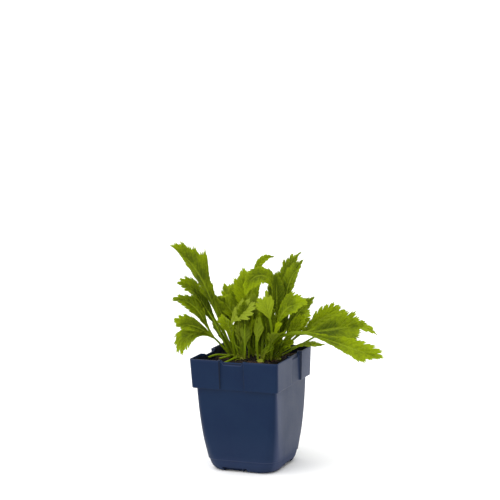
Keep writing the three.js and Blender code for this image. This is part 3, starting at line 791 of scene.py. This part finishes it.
def leafSkin(heap, clouds, marks, tone, grown):
    # Both faces meet at the margin, and both halves of the tip in one line
    rows, columns = clouds[0].shape[:2]
    points, ribPlace, leafKind, faces, index = [], [], [], [], {}
    for face, cloud in enumerate(clouds):
        for place in range(rows * columns):
            i, j = divmod(place, columns)
            j = min(j, columns - 1 - j) if i == rows - 1 else j
            shared = (0 if j in (0, columns - 1) else face, i * columns + j)
            if shared not in index:
                index[shared] = len(points)
                points.append(tuple(cloud[i, j] * mm))
                ribPlace.append(tuple(marks[i, j]))
                leafKind.append((tone, face, grown[i]))
            index[face, place] = index[shared]
    for a, b, c, d in gridFaces(rows, columns):
        for face, corners in enumerate(((a, b, c, d), (a, d, c, b))):
            corners = tuple(dict.fromkeys(index[face, corner] for corner in corners))
            if len(corners) > 2:
                faces.append(corners)
    cap = [index[0, j] for j in range(columns)] + [index[1, j] for j in range(columns - 2, 0, -1)]
    heap.add(points, faces + [tuple(cap[::-1])], ribPlace=ribPlace, leafKind=leafKind)


def growLeaf(heap, shape, centre, seed):
    draw = random.Random(seed)
    root = (centre[0] + shape["at"][0], centre[1] + shape["at"][1], blade["rootHeight"] + shape["lift"])
    spine = spineOf(shape, root)
    share = np.linspace(0, 1, shape["teeth"] * blade["perTooth"] + 1)
    stalkAt = np.linspace(0, 1, blade["stalkRows"], endpoint=False)
    stalkX = stalkAt * (shape["stalk"] * shape["length"])
    stalkHalf = blade["stalkWidth"] / 2
    joining = ease((stalkAt - blade["joinFrom"]) / (1 - blade["joinFrom"]))

    def withStalk(values, onStalk=0 * stalkAt):  # rows of the stalk, then those of the blade
        return np.concatenate([onStalk, values])

    sides = {}
    for side in (-1, 1):
        midrib, x, y, number = marginOf(shape, share, side, draw)
        bends = np.array([draw.uniform(-1, 1) for _ in range(shape["teeth"])]) * shape["curl"]
        joined = blend(stalkHalf * (1.25 - 0.35 * ease(stalkAt * 2)), y[0], joining)
        x = withStalk(x, stalkX + (x[0] - midrib[0]) * joining)
        sides[side] = x, withStalk(y, joined), withStalk(bends[number])
    middle = withStalk(midrib, stalkX)
    grown, ribs = withStalk(ease(share * 3.2)), withStalk(share * shape["teeth"])
    fractions = [(-1, f) for f in reversed(blade["columns"][1:])] + [(1, f) for f in blade["columns"]]
    x = np.stack([blend(middle, sides[s][0], f) for s, f in fractions], 1)
    y = np.stack([s * f * sides[s][1] for s, f in fractions], 1)
    across = np.array([s * f for s, f in fractions])[None, :]
    point, up = bladePoints(shape, spine, x, y)
    away, phase = np.abs(across), (ribs % 1)[:, None]
    lift = np.stack([sides[s][2] * f ** 3 for s, f in fractions], 1) * np.sin(pi * phase)
    bulge = shape["quilt"] * np.cos(pi * phase) ** 2 * np.sin(pi * np.clip(away, 0, 1) ** 0.8)
    opened, whole = grown[:, None], (middle / shape["length"])[:, None]
    thick = blade["stalkThick"] * (1 - 0.5 * ease(whole * 1.3))
    rounded = np.sqrt(np.clip(1 - (np.abs(y) / (stalkHalf * 1.05)) ** 2, 0, 1))
    body = 0.5 * blade["thick"] * (1 - away ** 6)
    rib = np.exp(-(np.abs(y) / blade["ribHalf"]) ** 2)
    vein = np.exp(-((phase - 0.5) / 0.07) ** 2) * (1 - away) * 0.22 * opened
    above = blend(0.3 * thick * rounded, body - 0.22 * rib * (1 - away), opened) - 0.4 * vein
    below = blend(0.7 * thick * rounded, body + 0.62 * thick * rib * (1 - whole * 0.8), opened) + vein
    above, below = (np.where(away >= 1, 0, depth) for depth in (above, below))
    raised = (lift + bulge) * opened
    clouds = [point + up * (raised + above)[..., None], point + up * (raised - below)[..., None]]
    marks = np.stack(np.broadcast_arrays(ribs[:, None], across, whole), -1)
    leafSkin(heap, clouds, marks, draw.random() + shape["pale"], grown)


# Each rosette has leaves, short young leaves in its middle, most darkened by a negative pale as painted
# shade,
# and stalks: thickness, tone and the places they pass; the thickest are cut
leftRosette = {"name": "leftRosette", "node": "rosette_left", "centre": (-20, 4), "leaves": [
    leaf((0, 1), 212, 69, -7, 131, 29, bendAt=1.02, bendOver=1.13, turn=8, stalk=0.34, roll=62, rollTip=50,
         teeth=12, cut=0.12, skew=0.25, full=0.6,
         lobes=((-1, 0.3, 6, 0.06), (1, 0.48, 9, 0.05), (1, 0.36, -4, 0.07), (1, 0.9, 2, 0.12))),
    leaf((-2, 5), 197, 61, -53, 98, 22, bendAt=1, bendOver=0.8, turn=27, stalk=0.5, roll=45, teeth=8,
         pale=0.3, lobes=((1, 0.5, 5, 0.2),)),
    leaf((-2, -2), 213, 51, -19, 70, 17, bendAt=0.75, turn=4, stalk=0.45, roll=55),
    leaf((-17, -12), 196, 62, -24, 60, 20, lift=21, bendAt=0.79, bendOver=1, stalk=0.12, roll=48, teeth=8,
         cut=0.22),
    leaf((-18, -12.5), 202, 59, 13, 43, 20, lift=22, bendAt=0.2, bendOver=1, stalk=0.08, roll=45, cut=0.22),
    leaf((-16.5, -11.5), 206, 27, -109, 46, 27, lift=20, bendAt=0.59, bendOver=1.1, turn=-11, stalk=0.1,
         roll=52, teeth=7, cut=0.24, skew=0.1, pale=0.6),
    leaf((-2, 5), 157, 58, -1, 93, 20, turn=11, roll=10),
], "young": [
    leaf((2, 5), 168, 72, 62, 64, 21, stalk=0.36, roll=15, teeth=7, cut=0.16, pale=-0.5),
    leaf((8, 4), 95, 84, 80, 44, 19, stalk=0.28, roll=-10, pale=-0.6),
    leaf((4, 7), 120, 78, 66, 78, 20, stalk=0.4, roll=10, teeth=7, cut=0.16, pale=-0.5),
    leaf((-1, 1), 200, 62, 60, 80, 17, roll=50, teeth=8, cut=0.16, pale=-0.5),
    leaf((0, 4), 187, 72, 68, 66, 15, stalk=0.36, roll=40, teeth=7, cut=0.16, pale=-0.3),
    leaf((-3, -2), 205, 68, 56, 40, 10, stalk=0.36, roll=40, teeth=5, pale=-0.2),
], "stalks": [
    (2.3, 1.2, [(-20, 3, 108), (-27, -5, 109.5), (-32, -12, 111), (-38, -18, 109.4)]),
    (2.3, 1.2, [(-20, 2, 108), (-20, -6, 109.6), (-20, -14, 110.2), (-25, -20, 109.4)]),
    (1.3, 0.6, [(-20, -2, 107), (-21, -10, 116), (-25, -14, 129), (-32, -15, 145), (-38, -16, 155)]),
]}
frontRosette = {"name": "frontRosette", "node": "rosette_front", "centre": (-9, -6), "leaves": [
    leaf((-1, 0), 338, 112, 28, 72, 25, bendAt=0.51, bendOver=0.5, turn=29, stalk=0.45, roll=-62, teeth=5,
         cut=0.42, pale=0.8),
    leaf((5, -1), 100, 79, 104, 59, 17, turn=17, stalk=0.45),
    leaf((6, -3), 277, 97, 122, 39, 17, stalk=0.35, teeth=5),
    leaf((-4, -4), 98, 106, 134, 58, 20, turn=-23, stalk=0.38),
    leaf((1, 5), 107, 82, 84, 59, 19, turn=-3, stalk=0.4),
], "young": [
    leaf((7, 4), 60, 86, 84, 48, 19, stalk=0.3, pale=-0.5),
    leaf((-1, 5), 120, 80, 96, 38, 15, stalk=0.3, teeth=5, cut=0.3, pale=0.4),
    leaf((-5, 5), 110, 84, 80, 37, 17, stalk=0.2, teeth=5, pale=-0.6),
], "stalks": [
    (2.3, 1.2, [(-9, -6, 107.5), (-9, -17, 110.4), (-11, -27, 109.8), (-13, -36, 109)]),
    (1.3, 1.3, [(-2, -11, 107), (0, -14, 117), (-1, -13, 131), (-1, -11, 143)]),
    (0.8, 1.5, [(-18, -12, 128), (-15, -13, 125), (-10, -14, 122), (-5, -14, 119)]),
]}
middleRosette = {"name": "middleRosette", "node": "rosette_middle", "centre": (14, -6), "leaves": [
    leaf((2, 3), 351, 67, -6, 82, 25, bendAt=0.76, bendOver=0.5, turn=2, stalk=0.45, roll=-64, teeth=5,
         cut=0.16, skew=-0.12),
    leaf((5, 3), 225, 88, 60, 54, 22, bendAt=0.8, bendOver=0.6, roll=60, cut=0.16),
    leaf((0, 2), 9, 93, 7, 118, 37, bendAt=0.14, bendOver=0.5, turn=20, stalk=0.48, roll=-66, rollTip=-62,
         teeth=8, cut=0.14, skew=0.1, lobes=((1, 0.86, -5, 0.14),)),
    leaf((0, -1), 2, 60, -15, 141, 27, bendAt=0.27, bendOver=0.5, turn=-6, stalk=0.4, roll=-62, teeth=10,
         full=0.85, lobes=((1, 0.68, 6, 0.05), (-1, 0.84, 6, 0.12), (1, 0.38, -3, 0.2)), pale=0.3, fine=0.16),
    leaf((6, -1), 326, 77, 9, 45, 26, stalk=0.35, teeth=5, cut=0.4),
    leaf((-2, 4), 94, 79, 68, 52, 18, stalk=0.4, teeth=5),
    leaf((-4, -1), 255, 87, 105, 44, 18, stalk=0.38, teeth=5),
    leaf((5, 0), 341, 72, 49, 46, 17, stalk=0.4, teeth=5, roll=-45),
], "young": [
    leaf((9, 0), 190, 98, 60, 66, 24, stalk=0.62, roll=66, teeth=4, cut=0.26, pale=0.3),
    leaf((4, 3), 100, 86, 84, 54, 24, stalk=0.3, roll=-5, cut=0.26, pale=-0.3),
    leaf((4, 7), 70, 84, 78, 50, 22, stalk=0.26, roll=-15, cut=0.26, pale=-0.5),
    leaf((2, 3), 20, 66, 30, 32, 17, stalk=0.2, roll=-35, teeth=5, cut=0.3, pale=-0.2),
    leaf((3, -3), 320, 58, 10, 24, 13, stalk=0.2, roll=-35, teeth=5, cut=0.3, pale=-0.3),
], "stalks": [
    (0.9, 1.3, [(14, -7, 107), (15, -9, 114), (18, -9, 119), (23, -8, 122), (27, -7, 120), (25, -9, 117),
                (21, -11, 112)]),
    (1.1, 0.9, [(14, -5, 107), (19, -3, 115), (27, 0, 122), (36, 3, 128), (46, 7, 132)]),
    (1.2, 1, [(9, -4, 107), (7, -3, 116), (6, -1, 130), (10, 4, 149), (10, 6, 163)]),
    (1.3, 0.3, [(12, -2, 107), (11, 1, 116), (16, 5, 127), (24, 11, 142), (28, 14, 152)]),
]}
rightRosette = {"name": "rightRosette", "node": "rosette_right", "centre": (23, 7), "leaves": [
    leaf((-5, 1), 203, 92.5, -67, 119, 22, bendAt=0.74, bendOver=0.45, turn=41, roll=55, rollTip=62, teeth=9,
         skew=-0.05, cut=0.15, lobes=((-1, 0.3, -8.5, 0.1), (-1, 0.15, -2.5, 0.08))),
    leaf((-4, -1), 62, 73, 3, 112, 17, bendAt=0.91, bendOver=0.6, turn=10, stalk=0.4, roll=-28, teeth=12,
         cut=0.14, full=0.4, skew=-0.3),
    leaf((-2, -3), 39, 76, 29, 104, 18, bendAt=0.89, bendOver=0.6, roll=-40, teeth=10, cut=0.14, skew=-0.1),
    leaf((-1, -3), 30, 72, 40, 76, 16, bendAt=0.46, turn=-2, stalk=0.35, roll=-58, teeth=8),
    leaf((1, -3), 34, 68, 30, 86, 24, bendAt=0.05, turn=9, roll=-64, teeth=7, cut=0.28),
    leaf((1, 1), 44, 63, 19, 87, 16, bendAt=0.2, turn=-7, stalk=0.5, roll=-40),
    leaf((1, 3), 30, 27, -96, 111, 18, bendAt=0.93, stalk=0.55, roll=-24, pale=0.5),
    leaf((-1, -5), 22, 60, -3, 57, 14, bendAt=0.23, stalk=0.35, roll=-14, pale=0.6),
    leaf((3, -1), 29, 61, 33, 53, 13, stalk=0.35, roll=-50, teeth=5),
    leaf((-3, 5), 74, 43, 12, 78, 20, bendAt=0.53, turn=14, roll=-10),
    leaf((2, -4), 15, 63, 43, 54, 18, stalk=0.4, roll=-52),
], "young": [
    leaf((0, 3), 80, 86, 92, 86, 22, stalk=0.44, roll=-12, teeth=8, cut=0.16, pale=-0.3),
    leaf((2, 3), 70, 80, 72, 50, 17, stalk=0.3, roll=-20, cut=0.26, pale=-0.5),
    leaf((0, 6), 40, 62, 52, 46, 15, stalk=0.3, roll=-30, cut=0.26, pale=-0.4),
    leaf((-2, -6), 350, 52, 8, 34, 13, stalk=0.3, roll=-35, teeth=5, cut=0.3, pale=-0.1),
], "stalks": [
    (1.2, 1, [(20, 6, 107), (22, 7, 114), (30, 10, 124), (38, 12, 131), (46, 14, 134), (52, 17, 137)]),
]}
backRosette = {"name": "backRosette", "node": "rosette_back", "centre": (1, 14), "leaves": [
    leaf((-6, 0), 138, 39, 58, 88, 24, turn=8, bendAt=0.57, stalk=0.36, roll=10, teeth=8, cut=0.15,
         skew=0.16),
    leaf((-3, -4), 144, 81, 47, 89, 31, bendAt=0.9, turn=-10, stalk=0.33, roll=20, teeth=9, cut=0.12,
         skew=0.1),
    leaf((2, 1), 44, 92.5, -37, 114.5, 9.5, bendAt=0.86, bendOver=0.5, turn=22.5, stalk=0.6, roll=-66,
         teeth=9, skew=-0.1),
    leaf((-5, 3), 84, 61, 19, 98, 22, roll=8),
    leaf((-6, 2), 127, 55, -5, 100, 22, turn=11),
    leaf((5, 3), 80, 54, -11, 101, 23, turn=-9),
    leaf((0, 5), 110, 41, -39, 86, 20, turn=9),
    leaf((-3, -4), 257, 88, 97, 64, 20),
    leaf((-5, -1), 174, 67, 43, 71, 21, turn=-2, stalk=0.4, roll=35),
], "young": [
    leaf((-2, -6), 95, 88, 86, 36, 22, stalk=0.12, teeth=5, pale=-0.8),
    leaf((7, -5), 85, 86, 82, 34, 22, stalk=0.12, teeth=5, pale=-0.8),
    leaf((-7, 0), 140, 76, 60, 66, 22, stalk=0.36, roll=10, teeth=7, cut=0.16, pale=-0.6),
], "stalks": []}


def smoothPath(points, steps=24):  # a smooth curve through the points
    points = [Vector(p) for p in points]
    parts = steps // (len(points) - 1)
    points = [points[0] * 2 - points[1]] + points + [points[-1] * 2 - points[-2]]
    path = []
    for i in range(1, len(points) - 2):
        a, b, c, d = points[i - 1:i + 3]
        for k in range(parts):
            t = k / parts
            path.append(0.5 * (2 * b + (c - a) * t + (2 * a - 5 * b + 4 * c - d) * t * t
                               + (3 * b - a - 3 * c + d) * t ** 3))
    return path + [points[-2]]


def addStalk(heap, width, tone, points):
    path = smoothPath(points)
    shares = [i / (len(path) - 1) for i in range(len(path))]
    tube(heap, path, [width / 2 * (1.05 - 0.15 * share) for share in shares], 12,
         ribPlace=[(0, 0.5, 0.02 + 0.3 * share) for share in shares], leafKind=[(tone, 0, 0)] * len(path))


def addCrown(heap, centre):  # a low knot of old leaf bases
    rows, around = 9, 28
    points = []
    for i in range(rows):
        share = i / (rows - 1)
        for c, s in circle(around):
            lump = 1 + 0.14 * noise.noise(Vector((c * 1.7, s * 1.7, share * 2 + centre[0])))
            reach = blade["crownRadius"] * lump * sqrt(max(1 - max(share - 0.35, 0) ** 2 / 0.43, 0.0001))
            z = blade["crownTop"] - blade["crownDepth"] + blade["crownDepth"] * share
            points.append(((centre[0] + reach * c) * mm, (centre[1] + reach * s) * mm, z * mm))
    heap.add(points, closedRings(rows, around), ribPlace=[(0, 0.5, 0)] * len(points),
             leafKind=[(0.9, 0, 0)] * len(points))


leafLook = {
    "fresh": (0.208, 0.274, 0.001), "deep": (0.05, 0.075, 0.001), "under": (0.15, 0.2, 0.012),
    "vein": (0.2, 0.26, 0.01), "stalk": (0.14, 0.2, 0.004), "base": (0.2, 0.23, 0.02),
    "pale": (0.27, 0.32, 0.045), "subsurface": 0.2,
}


def leafMaterial(look):
    shader = Shader("leafGreen")
    ribs, across, along = shader.mark("ribPlace")
    tone, under, grown = shader.mark("leafKind")
    away = abs(across)
    sideRib = abs(ribs.fract() - 0.5).between(0.13, 0.02) * away.between(1, 0.6) * grown
    midrib = away.between(0.13, 0.02) * grown
    net = shader.add("ShaderNodeTexVoronoi", {"feature": "DISTANCE_TO_EDGE"}, {
        "Vector": shader.place(), "Scale": 620}, "Distance").between(0.16, 0.02)
    patch, mottle = shader.noise(70, 3, 0.5), shader.noise(480, 4, 0.6)
    # the tone varies at random from leaf to leaf; a negative pale pushes it down to the deep green as painted
    # shade
    lush = tone * 0.55 + patch.between(0.3, 0.7, 0.06, 0.39) + mottle.between(0.3, 0.7, -0.1, 0.12)
    lush = lush + away.between(0.15, 0.95, -0.1, 0.12) + along.between(0.35, 0.9, -0.12, 0.12)
    green = shader.layers(
        look, "deep", (lush.between(0.05, 1), "fresh"), (tone.between(1, 1.6, 0, 0.55), "pale"),
        (sideRib * 0.22 + midrib * 0.7, "vein"), (net * grown * 0.12, "deep"),
        (away.between(0.86, 1, 0, 0.2) * grown, "vein"), (under * 0.62, "under"))
    bare = shader.layers(look, "stalk", (along.between(0.12, 0), "base"),
                         (tone.between(0.7, -0.4, 0, 0.75), "deep"))
    colour = shader.mix(grown.between(0, 0.5), bare, green)
    relief = sideRib * -0.5 + net * -0.12 + mottle * 0.3
    rough = 0.44 + under * 0.14 + mottle.between(0.3, 0.7, -0.05, 0.06)
    return shader.finish({
        "Base Color": colour, "Roughness": rough, "IOR": 1.4, "Specular IOR Level": 0.08,
        "Subsurface Weight": look["subsurface"], "Subsurface Radius": (0.8, 1, 0.25),
        "Subsurface Scale": 0.0012}, relief, 0.00025)


leafGreen = leafMaterial(leafLook)
for number, rosette in enumerate((leftRosette, frontRosette, middleRosette, rightRosette, backRosette)):
    heap, name, centre = Heap(), rosette["name"], rosette["centre"]
    addCrown(heap, centre)
    for first, shapes in ((100 * number, rosette["leaves"]), (1000 + 100 * number, rosette["young"])):
        for k, shape in enumerate(shapes):
            growLeaf(heap, shape, centre, first + k)
    for stalk in rosette["stalks"]:
        addStalk(heap, *stalk)
    piece = makePiece(name, heap, leafGreen, "leaf_green", rosette["node"])
    print(name, "made,", sum(len(p.vertices) - 2 for p in piece.data.polygons), "triangles")


# floor and light
studio = {
    "floor": (0.93, 0.93, 0.93), "floorSize": 60, "world": 0.99,
    "key": 2.3, "keyFrom": (-0.5, -0.6, 1.6), "keyWidth": 90,
}
size = studio["floorSize"]
corners = [(x * size, y * size, 0) for x, y in ((-1, -1), (1, -1), (1, 1), (-1, 1))]
values = {"Base Color": (*studio["floor"], 1), "Roughness": 0.9, "Specular IOR Level": 0.1}
floor = meshObject("floor", corners, [(0, 1, 2, 3)], Shader("paleFloor").finish(values))

world = bpy.data.worlds.new("studio")
world.use_nodes = True
inputs = world.node_tree.nodes["Background"].inputs
inputs["Color"].default_value, inputs["Strength"].default_value = (1, 1, 1, 1), studio["world"]
bpy.context.scene.world = world
data = bpy.data.lights.new("key", "SUN")
data.energy, data.angle = studio["key"], radians(studio["keyWidth"])
light = addObject("key", data)
light.rotation_mode = "QUATERNION"
light.rotation_quaternion = Vector(studio["keyFrom"]).to_track_quat("Z", "Y")
bpy.context.scene.view_settings.view_transform = "Standard"
print("studio made")
